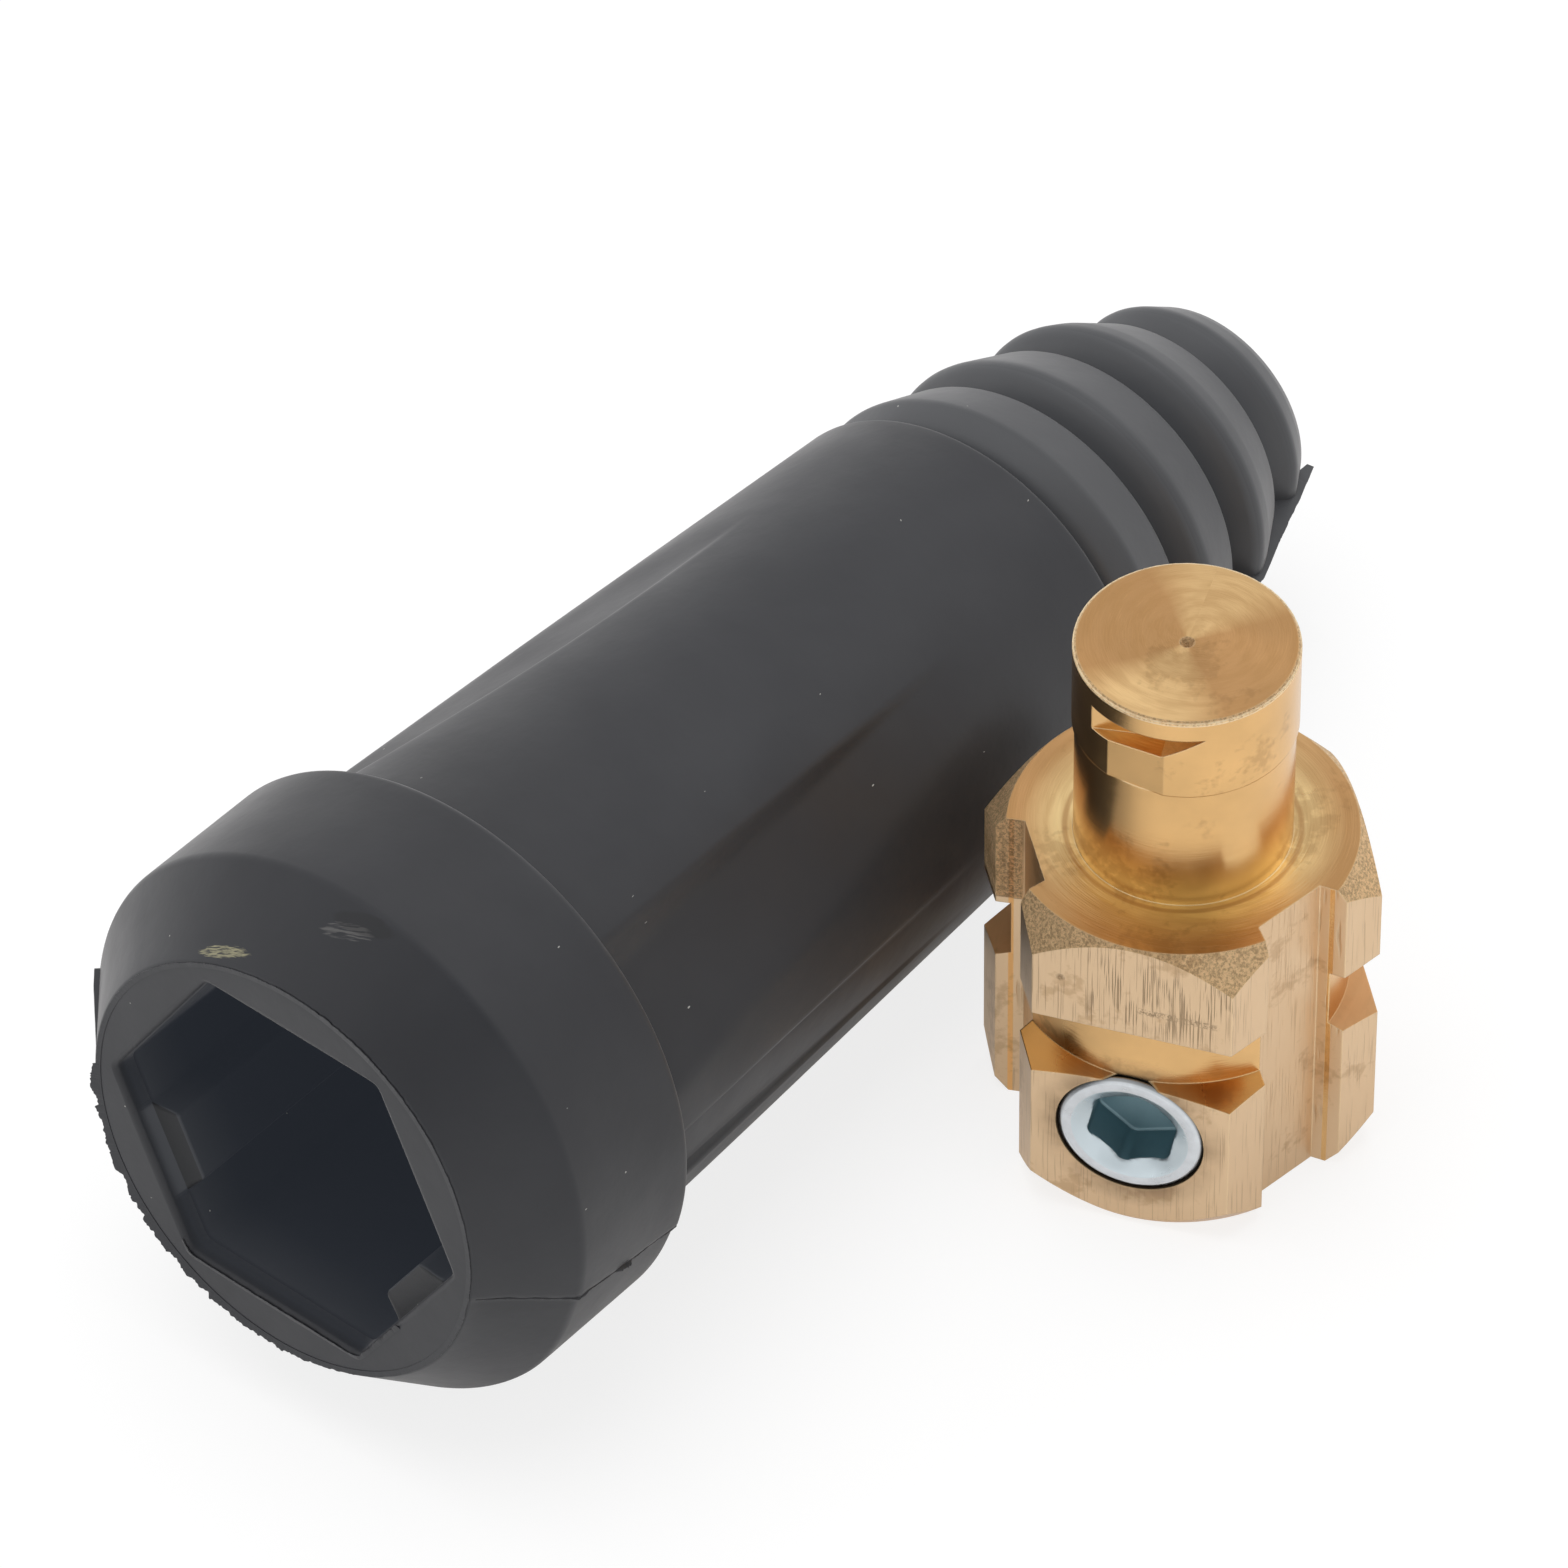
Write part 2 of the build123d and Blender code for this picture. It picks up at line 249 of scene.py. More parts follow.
hex_angle = np.radians((turn_of - hex_turn) % 60 - 30)
hexagon = socket_flats / 2 / np.cos(hex_angle)
hexagon = soft_min(hexagon, np.full(turns, socket_flats / sqrt(3) - 0.08), 0.25)
key_angle = np.abs(np.radians((turn_of - hex_turn - 90 + 60) % 120 - 60))
lean = np.maximum(tan(key_flare) - np.tan(np.minimum(key_angle, 1.2)), 0.01)
key_wall = (key_tip * tan(key_flare) - key_half) / lean
key_reach = soft_max(np.full(turns, key_tip), key_wall, 0.25) / np.cos(np.minimum(key_angle, 1.2))
keyed = soft_min(hexagon, key_reach, 0.2)
inside = [(0.0, hexagon + 0.35), (0.1, hexagon + 0.12), (0.35, hexagon), (key_setback, hexagon),
          (key_setback + 0.05, keyed + 0.1), (key_setback + 0.25, keyed)]
inside += [(s, keyed) for s in (8.0, 16.0, 24.0, 32.0, socket_depth - 0.05)]
inside += [(s, np.full(turns, r)) for s, r in (
    (socket_depth, socket_flats / 2), (socket_depth + throat_length, room_r),
    (hole_start - tail_cone, room_r), (hole_start, tail_hole_r), (sleeve_length - 0.3, tail_hole_r),
    (sleeve_length, tail_hole_r + 0.3))]

# %% Helpers for meshes, then both skins as one closed shape
def new_object(name, verts, faces):
    mesh = bpy.data.meshes.new(name)
    mesh.from_pydata(verts, [], faces)
    ob = bpy.data.objects.new(name, mesh)
    bpy.context.scene.collection.objects.link(ob)
    return ob

def quads(rows, around, closed=False):
    """Faces that join each row of points round an axis to the next row."""
    faces = []
    for i in range(rows if closed else rows - 1):
        a, b = i * around, (i + 1) % rows * around
        for j in range(around):
            k = (j + 1) % around
            faces.append((a + j, a + k, b + k, b + j))
    return faces

def face_outward(ob, merge=True):
    """Merges doubles, turns every face outward, and gives the volume."""
    shape = bmesh.new()
    shape.from_mesh(ob.data)
    if merge:
        bmesh.ops.remove_doubles(shape, verts=shape.verts, dist=1e-7)
    bmesh.ops.recalc_face_normals(shape, faces=shape.faces)
    volume = shape.calc_volume()
    if volume < 0:
        bmesh.ops.reverse_faces(shape, faces=shape.faces)
    shape.to_mesh(ob.data)
    shape.free()
    return abs(volume)

even = np.ones(turns)
rows = [(s * even, outside_radius(s, r)) for s, r in profile]
rows += [(s * even, r) for s, r in reversed(inside)]
# Three more rows keep the front face flat between its two rounded edges.
rows += [(0 * even, inside[0][1] * (1 - t) + rows[0][1] * t) for t in (0.06, 0.5, 0.94)]
verts = [on_sleeve(float(s[j]), float(r[j]), turn_of[j]) for s, r in rows for j in range(turns)]
sleeve = new_object("sleeve_skin", verts, quads(len(rows), turns, closed=True))
sleeve.data.shade_smooth()
volume = face_outward(sleeve, merge=False)
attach(sleeve, "plug")
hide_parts("rubber_sleeve")
print("sleeve skin faces", len(sleeve.data.polygons), "rubber volume cm3", round(volume * 1e6, 2))

# %% [markdown]
# ## Small things that nodes make
# Three small things repeat or follow a path: ragged flash where rubber or metal was squeezed
# out, the thread of the screw, and dust. Each is a Geometry Nodes tree with named inputs and a
# fixed seed. The result is turned into a plain mesh, so the model needs no modifiers later.

# %% Helpers for geometry trees
def new_tree(kind, name, inputs, outputs):
    """A node tree with its input and output nodes. Inputs are (name, kind, default)."""
    made = bpy.data.node_groups.new(name, kind)
    for title, sort, value in inputs:
        socket = made.interface.new_socket(title, in_out="INPUT", socket_type="NodeSocket" + sort)
        if value is not None:
            socket.default_value = value
    for title, sort in outputs:
        made.interface.new_socket(title, in_out="OUTPUT", socket_type="NodeSocket" + sort)
    return made, made.nodes.new("NodeGroupInput"), made.nodes.new("NodeGroupOutput")

def geometry_tree(name, inputs):
    shape = [("Geometry", "Geometry")]
    return new_tree("GeometryNodeTree", name, [(*shape[0], None)] + inputs, shape)

def step(tree, kind, links=None, **settings):
    """One node. Links name its inputs and give a node, or (node, output), or a plain value."""
    node = tree.nodes.new(kind)
    for name, value in settings.items():
        setattr(node, name, value)
    for name, source in (links or {}).items():
        linked = source if isinstance(source, tuple) else (source, 0)
        if isinstance(linked[0], bpy.types.Node):
            tree.links.new(linked[0].outputs[linked[1]], node.inputs[name])
        else:
            node.inputs[name].default_value = source
    return node

def close_tree(tree, start, end, geometry):
    """Ends a tree: instances become real, the material is set, and the result leaves."""
    real = step(tree, "GeometryNodeRealizeInstances", {"Geometry": geometry})
    coat = step(tree, "GeometryNodeSetMaterial", {"Geometry": real, "Material": (start, "Material")})
    tree.links.new(coat.outputs[0], end.inputs[0])

def run_tree(ob, tree, **values):
    """Applies a geometry tree to an object and leaves a plain mesh."""
    modifier = ob.modifiers.new("made", "NODES")
    modifier.node_group = tree
    for socket in tree.interface.items_tree:
        title = socket.name.replace(" ", "_")
        if socket.in_out == "INPUT" and title in values:
            modifier[socket.identifier] = values[title]
    ready = ob.evaluated_get(bpy.context.evaluated_depsgraph_get())
    plain = bpy.data.meshes.new_from_object(ready)
    ob.modifiers.clear()
    ob.data = plain

rubber, brass, zinc, dusty = (bpy.data.materials.new(n) for n in (
    "moulded_rubber", "turned_and_drawn_brass", "zinc_plated_steel", "pale_dust"))

# %% [markdown]
# ## Flash
# Rubber creeps into the gap between the parts of a mould and leaves a thin ragged web. Metal
# leaves a burr at a turned edge. Both are made as a thin wedge along a path. Its free edge
# carries a vector, and the nodes push that edge out by a noise, so the height is uneven. The
# flash on the rim, the collar and the socket's edge is ragged. The tab beside the mouth and the
# fin along the tail are nearly smooth.

# %% Ragged edge tree
ragged, start, end = geometry_tree("ragged_edge", [("Height", "Float", 0.0004), ("Raggedness", "Float", 0.7),
    ("Grain", "Float", 1500.0), ("Seed", "Float", 1.0), ("Material", "Material", None)])
outward = step(ragged, "GeometryNodeInputNamedAttribute", {"Name": "outward"}, data_type="FLOAT_VECTOR")
place_of = step(ragged, "GeometryNodeInputPosition")
torn_noise = step(ragged, "ShaderNodeTexNoise", {"Vector": place_of, "Scale": (start, "Grain"),
    "W": (start, "Seed"), "Detail": 3.0, "Roughness": 0.7}, noise_dimensions="4D")
spread = step(ragged, "ShaderNodeMapRange", {"Value": torn_noise, "From Min": 0.38, "From Max": 0.62})
low = step(ragged, "ShaderNodeMath", {0: 1.0, 1: (start, "Raggedness")}, operation="SUBTRACT")
share = step(ragged, "ShaderNodeMath", {0: spread, 1: (start, "Raggedness"), 2: low}, operation="MULTIPLY_ADD")
height = step(ragged, "ShaderNodeMath", {0: share, 1: (start, "Height")}, operation="MULTIPLY")
push = step(ragged, "ShaderNodeVectorMath", {0: outward, "Scale": height}, operation="SCALE")
moved = step(ragged, "GeometryNodeSetPosition", {"Geometry": start, "Offset": push})
close_tree(ragged, start, end, moved)

# %% Wedges along paths
def wedges(name, paths):
    """Thin wedges along paths. A path is rows of (point, outward, sideways, share of the height),
    with its width in metres, how deep its root lies, and whether it closes on itself."""
    verts, faces, pushes = [], [], []
    for rows, width, root, closed in paths:
        first, n = len(verts), len(rows)
        for point, out, side, share in rows:
            for sunk, half, free in ((root, -0.5, 0), (root, 0.5, 0), (0, 0.12, 1), (0, -0.12, 1)):
                verts.append(point - out * sunk + side * (half * width))
                pushes.append(out * (share * free))
        for i in range(n if closed else n - 1):
            a, b = first + 4 * i, first + 4 * ((i + 1) % n)
            faces += [(a + k, a + (k + 1) % 4, b + (k + 1) % 4, b + k) for k in range(4)]
        if not closed:
            last = first + 4 * (n - 1)
            faces += [(first + 3, first + 2, first + 1, first), (last, last + 1, last + 2, last + 3)]
    ob = new_object(name, verts, faces)
    values = ob.data.attributes.new("outward", "FLOAT_VECTOR", "POINT")
    values.data.foreach_set("vector", [c for p in pushes for c in p])
    return ob

def hill(value, middle, half):
    return max(0.0, 1 - ((value - middle) / half) ** 2)

# %% Flash on the rubber
rim = []
for k in range(900):
    turn = k * 0.4
    share = 0.16 + 0.84 * max(hill(turn, 312, 62), hill(turn - 360, -12, 20)) + 0.25 * hill(turn, 115, 30)
    rim.append((on_sleeve(-0.02, face_r - 0.12, turn), (out_of_sleeve(turn) - along * 0.35).normalized(),
                along, min(share, 1.0)))
tab = [(on_sleeve(s, collar_radius(s) - 0.1, grip_turn - 1.0),
        (out_of_sleeve(grip_turn) - along * 0.3).normalized(), round_the_sleeve(grip_turn),
        min(0.2 + s / 4.5, 1.0, (4.75 - s) * 8)) for s in stations_between(0.1, 4.7, 0.12)]
collar_line = []
for s in stations_between(0.3, collar_length - 0.3, 0.12):
    turn = mould_line(s)
    share = 0.14 + 0.8 * hill(s, 9.2, 0.7) + 0.15 * hill(s, 5.0, 1.0)
    place = on_sleeve(s, collar_radius(s) - 0.06, turn)
    collar_line.append((place, out_of_sleeve(turn), round_the_sleeve(turn), share))
# The root of the fin lies on the rings, and its free edge has an outline of its own.
web_turn = 187.0
web_s, web_r = [76.6, 79.0, 82.4, 86.2, 89.0], [11.4, 11.2, 9.95, 8.66, 7.62]
ring_s, ring_r = [q[0] for q in rings], [q[1] for q in rings]
web = []
for k in range(81):
    t = k / 80
    tip_s, root_s = 76.6 + 12.4 * t, 76.4 + 12.4 * t
    tip = on_sleeve(tip_s, float(np.interp(tip_s, web_s, web_r)), web_turn)
    held = float(np.interp(root_s, ring_s, ring_r)) - 0.15 if root_s < 87.3 else 7.22
    root = on_sleeve(root_s, held, web_turn)
    web.append((root, (tip - root) / (0.45 * mm), round_the_sleeve(web_turn), 1.0))
mouth_edge = []
for turn in stations_between(218, 306, 0.5):
    r = float(np.interp(turn, turn_of, hexagon)) + 0.25
    mouth_edge.append((on_sleeve(-0.02, r, turn), (-out_of_sleeve(turn) - along * 0.5).normalized(),
                       along, 0.5))
flash = wedges("mould_flash", [(rim, 0.00022, 0.0003, True), (collar_line, 0.00028, 0.0001, False),
                               (mouth_edge, 0.00018, 0.0002, False)])
run_tree(flash, ragged, Height=0.00050, Raggedness=0.75, Grain=1300.0, Seed=4.0, Material=rubber)
webs = wedges("mould_webs", [(tab, 0.0007, 0.0004, False), (web, 0.00022, 0.0, False)])
run_tree(webs, ragged, Height=0.00045, Raggedness=0.04, Grain=900.0, Seed=2.0, Material=rubber)
for ob in (flash, webs):
    face_outward(ob)
    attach(ob, "plug")
    print(ob.name, len(ob.data.polygons), "faces")

# %% Burr on the rim of the pin
def from_insert(x, y, z):
    """A point or direction of the insert's own frame, with +X where the screw's flat faces."""
    return Vector((x * cos(insert_turn) - y * sin(insert_turn), x * sin(insert_turn) + y * cos(insert_turn), z))

rim_r, rim_level, rim_lean = 6.46, 37.60, 0.2
pin_rim = []
for a in range(360):
    out = from_insert(cos(radians(a)), sin(radians(a)), 0)
    pin_rim.append(((insert_foot + out * rim_r + Vector((0, 0, rim_level))) * mm,
                    (out + Vector((0, 0, rim_lean))).normalized(), Vector((0, 0, 1)),
                    0.35 + 0.65 * max(0.0, cos(radians(a - 10)))))
burr = wedges("turning_burr", [(pin_rim, 0.00010, 0.00008, True)])
run_tree(burr, ragged, Height=0.00007, Raggedness=0.9, Grain=2600.0, Seed=7.0, Material=brass)
face_outward(burr)
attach(burr, "plug")
print("burr", len(burr.data.polygons), "faces")

# %% [markdown]
# ## The clamp screw
# It is a headless screw with a hexagonal socket. It is made as one closed shell of rows round
# its axis: socket floor, socket wall, the cone of its mouth, front ring, threaded shank and the
# hollow of its tip. Each point of the shank carries its turn and how far along it is, and the
# nodes cut the thread as a saw of height that climbs one pitch per turn.

# %% Thread tree
thread, start, end = geometry_tree("screw_thread", [("Pitch", "Float", 0.00125), ("Depth", "Float", 0.0004),
                                                    ("Material", "Material", None)])
inward = step(thread, "GeometryNodeInputNamedAttribute", {"Name": "inward"}, data_type="FLOAT_VECTOR")
round_turn = step(thread, "GeometryNodeInputNamedAttribute", {"Name": "turn"}, data_type="FLOAT")
far = step(thread, "GeometryNodeInputNamedAttribute", {"Name": "far"}, data_type="FLOAT")
climbs = step(thread, "ShaderNodeMath", {0: far, 1: (start, "Pitch")}, operation="DIVIDE")
phase = step(thread, "ShaderNodeMath", {0: climbs, 1: round_turn}, operation="ADD")
saw = step(thread, "ShaderNodeMath", {0: phase, 1: 0.5}, operation="PINGPONG")
flat_crest = step(thread, "ShaderNodeMapRange", {"Value": saw, "From Min": 0.08, "From Max": 0.45})
cut = step(thread, "ShaderNodeMath", {0: flat_crest, 1: (start, "Depth")}, operation="MULTIPLY")
sink = step(thread, "ShaderNodeVectorMath", {0: inward, "Scale": cut}, operation="SCALE")
threaded = step(thread, "GeometryNodeSetPosition", {"Geometry": start, "Offset": sink})
close_tree(thread, start, end, threaded)

# %% Screw shell
screw_r, screw_length, screw_height, screw_lead, screw_pitch = 4.40, 4.80, 7.4, 0.55, 1.25
key_flats, key_turn, key_depth, tip_hollow_r, tip_hollow = 5.0, 19.5, 3.0, 2.4, 0.5
parts_round = 120
angles = np.arange(parts_round) * 2 * pi / parts_round
key_hex = key_flats / 2 / np.cos((angles - radians(key_turn)) % (pi / 3) - pi / 6)
key_hex = np.minimum(key_hex, key_flats / sqrt(3) - 0.1)
full = np.ones(parts_round)
mouth_cone, mouth_r = 1.55, 3.5
outline = [(key_depth + 0.25, 0.9 * full), (key_depth, 0.96 * key_hex),
           (key_depth - 0.1, key_hex), (0.75, key_hex)]
for d in (0.64, 0.58, 0.5, 0.42, 0.34, 0.26, 0.15):
    outline.append((d, np.maximum(key_hex, mouth_r - mouth_cone * d)))
outline += [(0.02, mouth_r * full - 0.02), (0.0, mouth_r * full + 0.02)]
head_corners = [(0.0, 3.6), (0.0, screw_r - 0.32), (0.22, screw_r), (screw_length, screw_r)]
head_edge = rounded(head_corners, (0.12, 0.12))
outline += [(d, r * full) for d, r in head_edge[1:-1]]
shank = [(d, screw_r * full) for d in stations_between(0.34, screw_length - 0.5, 0.07)]
tip = [(screw_length, (screw_r - screw_lead) * full), (screw_length, tip_hollow_r * full),
       (screw_length - tip_hollow, 0.6 * full)]
screw_rows = outline + shank + tip
head_at = insert_foot + from_insert(10.3, 0, 0) + Vector((0, 0, screw_height))
screw_out, screw_side, screw_up = from_insert(1, 0, 0), from_insert(0, 1, 0), Vector((0, 0, 1))
verts, inwards, fars = [], [], []
for d, r in screw_rows:
    on_shank = 0.3 < d < screw_length - 0.45 and r[0] > 4.3
    ends = min(1.0, (d - 0.34) / 0.4, (screw_length - 0.5 - d) / 0.4) if on_shank else 0.0
    for k, a in enumerate(angles):
        way = screw_side * cos(a) + screw_up * sin(a)
        verts.append((head_at - screw_out * d + way * r[k]) * mm)
        inwards.append(-way * max(ends, 0.0))
        fars.append(d * mm)
count = len(screw_rows)
faces = quads(count, parts_round)
faces += [tuple(range(parts_round)), tuple(range((count - 1) * parts_round, count * parts_round))]
screw = new_object("threaded_clamp_screw", verts, faces)
turn_shares = list(np.tile(angles / (2 * pi), count))
for title, kind, slot, values in (("inward", "FLOAT_VECTOR", "vector", [c for v in inwards for c in v]),
                                  ("far", "FLOAT", "value", fars), ("turn", "FLOAT", "value", turn_shares)):
    screw.data.attributes.new(title, kind, "POINT").data.foreach_set(slot, values)
run_tree(screw, thread, Pitch=screw_pitch * mm, Depth=0.00045, Material=zinc)
face_outward(screw)
screw.data.shade_smooth()
screw.data.set_sharp_from_angle(angle=radians(32))
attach(screw, "screw")
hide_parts("clamp_screw")
print("screw", len(screw.data.polygons), "faces")

# %% [markdown]
# ## Dust
# A few pale specks lie on the black rubber. The nodes scatter points over the sleeve's faces,
# drop those that face down, and put on each a flat grain of a random size, turned to its face.

# %% Dust tree
dust, start, end = geometry_tree("dust_on_surface", [
    ("Per Square Metre", "Float", 9000.0), ("Size", "Float", 0.0001), ("Seed", "Int", 3),
    ("Material", "Material", None)])
split = step(dust, "ShaderNodeSeparateXYZ", {0: step(dust, "GeometryNodeInputNormal")})
upward_only = step(dust, "ShaderNodeMath", {0: (split, "Z"), 1: -0.1}, operation="GREATER_THAN")
points = step(dust, "GeometryNodeDistributePointsOnFaces", {"Mesh": start, "Selection": upward_only,
              "Density": (start, "Per Square Metre"), "Seed": (start, "Seed")})
grain = step(dust, "GeometryNodeMeshIcoSphere", {"Radius": (start, "Size"), "Subdivisions": 1})
flatter = step(dust, "GeometryNodeTransform", {"Geometry": grain, "Scale": (1.0, 0.6, 0.3)})
sizes = step(dust, "FunctionNodeRandomValue", {"Min": (0.25, 0.25, 0.3), "Max": (1.0, 1.0, 0.6)},
             data_type="FLOAT_VECTOR")
grains = step(dust, "GeometryNodeInstanceOnPoints", {"Points": points, "Instance": flatter,
              "Rotation": (points, "Rotation"), "Scale": sizes})
close_tree(dust, start, end, grains)

# %% Scatter it
specks = bpy.data.objects.new("dust_specks", sleeve.data.copy())
bpy.context.scene.collection.objects.link(specks)
run_tree(specks, dust, Per_Square_Metre=7000.0, Size=0.00013, Seed=11, Material=dusty)
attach(specks, "plug")
print("dust", len(specks.data.polygons), "faces")

# %% [markdown]
# ## Materials
# Every finish here is a small node tree. Effects that more than one finish uses are node groups
# with their own inputs: edges softened by use, and stains in cloudy patches. Shaders themselves
# stay in the materials. The helpers add their nodes to the tree that is called `tree` at that
# moment. A value is a number, a node, which stands for its first output, or a pair of a node and
# the name of its output.

# %% Helpers for shader trees
def add(kind, **settings):
    """A node with its properties and unlinked inputs set. Input names use _ for a space."""
    node = tree.nodes.new("ShaderNode" + kind)
    for name, value in settings.items():
        match = [s for s in node.inputs if s.name == name.replace("_", " ")]
        if match:
            match[0].default_value = value
        else:
            setattr(node, name, value)
    return node

def wire(source, target, name):
    """Links a value to an input, and gives the target back."""
    node, out = source if isinstance(source, tuple) else (source, 0)
    tree.links.new(node.outputs[out], target.inputs[name])
    return target

def feed(value, target, name):
    """Links a value to an input, or sets it where it is a number."""
    if isinstance(value, (int, float)):
        target.inputs[name].default_value = value
    else:
        wire(value, target, name)

def maths(kind, a, b=0.0, clamp=False):
    node = add("Math", operation=kind, use_clamp=clamp)
    feed(a, node, 0)
    feed(b, node, 1)
    return node

def plus(*values):
    return reduce(lambda a, b: maths("ADD", a, b), values)

def times(*values):
    return reduce(lambda a, b: maths("MULTIPLY", a, b), values)

def minus(a, b):
    return maths("SUBTRACT", a, b)

def ramp(value, low, high, start=0.0, end=1.0):
    """Maps a range to another one, held at both ends."""
    return wire(value, add("MapRange", From_Min=low, From_Max=high, To_Min=start, To_Max=end), "Value")

def fall(value, low, high):
    """1 below a range, 0 above it."""
    return ramp(value, low, high, 1.0, 0.0)

def band(value, low, high, soft):
    """1 between two limits and 0 outside them, with soft ends."""
    return times(ramp(value, low - soft, low + soft), fall(value, high - soft, high + soft))

def radius_of(a, b):
    """The length of two components."""
    return maths("SQRT", plus(maths("POWER", a, 2.0), maths("POWER", b, 2.0)))

def split(vector):
    """A node whose outputs X, Y and Z are the components."""
    return wire(vector, add("SeparateXYZ"), "Vector")

def noise_of(vector, **settings):
    return wire(vector, add("TexNoise", **settings), "Vector")

def facing(way):
    """How far the bare surface faces a direction, from -1 to 1."""
    node = add("VectorMath", operation="DOT_PRODUCT")
    node.inputs[1].default_value = way
    return (wire((add("NewGeometry"), "True Normal"), node, 0), "Value")

def in_frame(at, turning, reach=(1, 1, 1)):
    """Places in the frame of one piece or one mark."""
    placed = add("Mapping", vector_type="TEXTURE", Location=at, Rotation=turning, Scale=reach)
    return wire((here, "Object"), placed, "Vector")

def mixed(mask, a, b):
    """Mixes two colours by a mask. A colour is a tuple of three or a value."""
    node = add("Mix", data_type="RGBA")
    for slot, value in ((6, a), (7, b)):
        if isinstance(value, tuple) and len(value) == 3:
            node.inputs[slot].default_value = (*value, 1)
        else:
            wire(value, node, slot)
    feed(mask, node, 0)
    return (node, 2)

def varied(tone, color):
    """A colour made darker and lighter by a tone."""
    return (wire(tone, add("HueSaturation", Color=(*color, 1)), "Value"), 0)

def layers(color, rows):
    """Lays colours over each other. Each row is a mask, how much of it, and the colour."""
    for mask, share, over in rows:
        color = mixed(times(mask, share) if share < 1 else mask, color, over)
    return color

def relief_of(height, strength, distance, soft=None):
    """A bump from a height, over softened edges if there are any, wired to the shader."""
    bump = wire(height, add("Bump", Strength=strength, Distance=distance), "Height")
    if soft:
        wire((soft, "Normal"), bump, "Normal")
    wire(bump, skin, "Normal")

def use(made, **values):
    """Puts a group into the tree and sets its inputs."""
    node = add("Group", node_tree=made)
    for name, value in values.items():
        feed(value, node, name)
    return node

def open_material(made, **settings):
    """A material's tree, its shader with uniform values set, and its coordinates."""
    made.use_nodes = True
    nodes = made.node_tree.nodes
    shader = nodes["Principled BSDF"]
    for name, value in settings.items():
        shader.inputs[name.replace("_", " ")].default_value = value
    return made.node_tree, shader, nodes.new("ShaderNodeTexCoord")

# %% [markdown]
# A machined or moulded edge is never razor sharp, and it catches the light. The Bevel node
# looks a small distance round each point and returns a rounded normal. How far that normal
# turns away from the flat one tells where the edges are, and the metals paint a highlight there.

# %% Softened edges group
tree, taken, given = new_tree("ShaderNodeTree", "soft_edges", [
    ("Radius", "Float", 0.0002), ("Gain", "Float", 6.0)], [("Normal", "Vector"), ("Edge", "Float")])
edges = tree
rounding = wire((taken, "Radius"), add("Bevel", samples=6), "Radius")
alike = wire(rounding, add("VectorMath", operation="DOT_PRODUCT"), 0)
wire((add("NewGeometry"), "Normal"), alike, 1)
away = minus(1.0, (alike, "Value"))
wire(rounding, given, "Normal")
wire(maths("MULTIPLY", away, (taken, "Gain"), clamp=True), given, "Edge")

# %% [markdown]
# Stains and unevenness come as patches with fine ragged borders: a wide noise decides where,
# and a fine one frays the border.

# %% Cloudy patches group
tree, taken, given = new_tree("ShaderNodeTree", "cloudy_patches", [
    ("Vector", "Vector", None), ("Scale", "Float", 200.0), ("Cover", "Float", 0.3)],
    [("Mask", "Float"), ("Tone", "Float")])
patches = tree
wide = noise_of((taken, "Vector"), Detail=2.0)
wire((taken, "Scale"), wide, "Scale")
fine = noise_of((taken, "Vector"), Detail=4.0)
wire(times((taken, "Scale"), 9.0), fine, "Scale")
frayed = plus(wide, times(minus(fine, 0.5), 0.35))
limit = minus(0.72, times((taken, "Cover"), 0.45))
over = minus(frayed, limit)
wire(maths("MULTIPLY", over, 12.0, clamp=True), given, "Mask")
wire(frayed, given, "Tone")

# %% [markdown]
# ## Black rubber
# The rubber is matt charcoal. It has a fine grain from the mould and faint wider unevenness, and
# on the bevel a pale scuff beside a dark hollow, which is painted shade, and an olive smear. Each
# mark lies in its own small frame on the surface, so it is long one way and short the other, and a
# fine noise breaks it into dashes. The ringed tail is painted greyer and paler as painted light, a
# little more on the flanks that face the mouth. Inside the socket little light arrives, and the
# rubber there is painted darker and bluish as painted shade. A very faint painted glow of that
# colour keeps it from going black, a little paler close behind the mouth, except on the ends of
# the keys, which catch light of their own.

# %% Rubber
tree, skin, here = open_material(rubber, Specular_IOR_Level=0.5, Sheen_Weight=0.22, Sheen_Roughness=0.35,
                                 Sheen_Tint=(1.0, 0.96, 0.95, 1), Emission_Strength=1.0)
depth = split(in_frame(mouth * mm, (0, sleeve_tilt, 0)))
grain = noise_of((here, "Object"), Scale=2600.0, Detail=3.0)
wander = noise_of((here, "Object"), Scale=150.0, Detail=4.0)
clouds = use(patches, Vector=(here, "Object"), Scale=30.0, Cover=0.4)

def surface_frame(turn, twist=0.0):
    """Turns a mark so that its X runs round the sleeve, its Y along it and its Z outward."""
    out, roundways = out_of_sleeve(turn), round_the_sleeve(turn)
    long_way = roundways * cos(radians(twist)) + along * sin(radians(twist))
    return Matrix((long_way, out.cross(long_way), out)).transposed().to_euler()

def mark(at, turning, reach, grain_scale, threshold, streak=1.0):
    """A ragged mark with a centre, three reaches and a fine noise that breaks it up."""
    spot = in_frame(at, turning, reach)
    length = wire(spot, add("VectorMath", operation="LENGTH"), 0)
    near = fall((length, "Value"), 0.45, 1.0)
    drawn_out = wire(spot, add("Mapping", vector_type="POINT", Scale=(1.0, streak, 1.0)), "Vector")
    broken = noise_of(drawn_out, Scale=grain_scale, Detail=4.0)
    return ramp(times(near, broken), threshold, threshold + 0.12)

